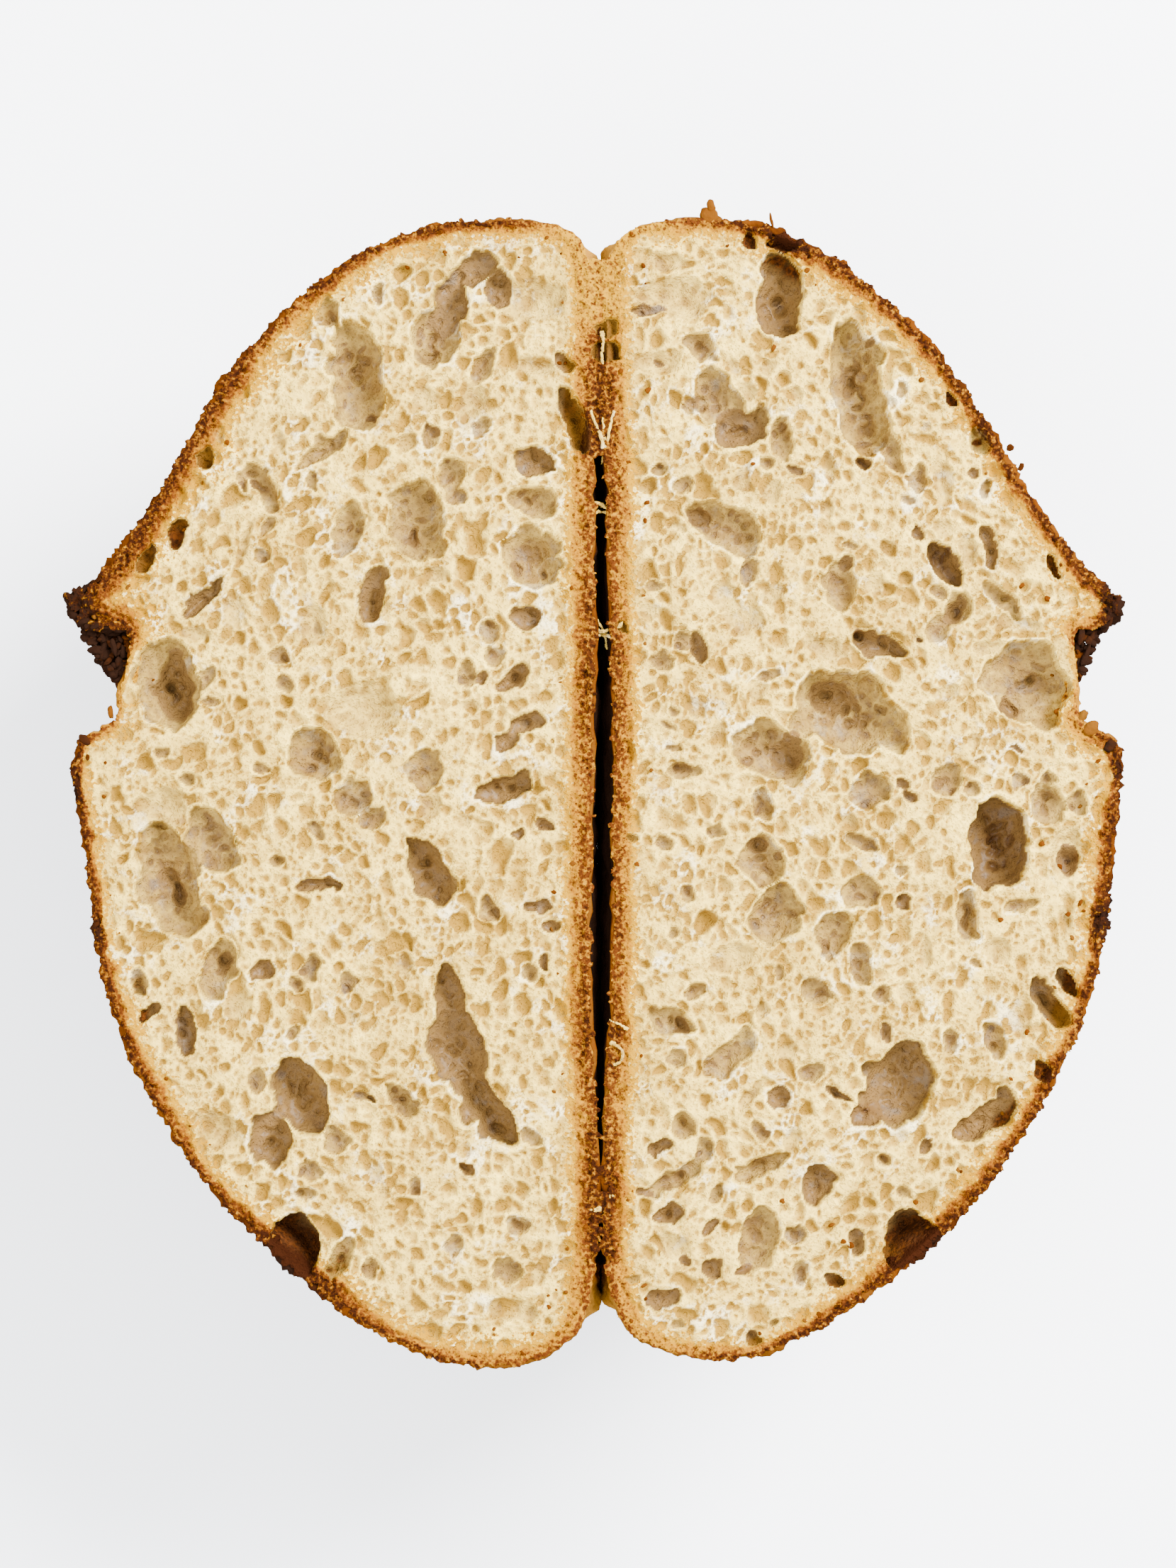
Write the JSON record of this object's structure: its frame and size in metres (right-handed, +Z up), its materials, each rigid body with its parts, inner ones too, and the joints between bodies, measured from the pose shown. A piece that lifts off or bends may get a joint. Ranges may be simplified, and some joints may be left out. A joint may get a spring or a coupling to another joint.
{
  "type": "sourdough loaf",
  "caption": "Round crusty sourdough loaf cut across nearly to the bottom crust and opened flat, showing open crumb with large irregular holes, a split crown and a raised ear.",
  "frame": {"origin": "on the ground, under the middle of the loaf's box", "axes": "+Z up, square to the cut faces, which look up; +Y along the fold, towards the raised ear's side; +X across the fold, to the right in the picture"},
  "size_m": [0.23, 0.2502, 0.117],
  "materials": {
    "crumb": "moist, matt, open bread crumb, cream to pale gold",
    "crust": "baked crust, blistered, chestnut brown to charred, dull"
  },
  "bodies": {
    "root": {"loaf": "crumb"}
  },
  "joints": []
}
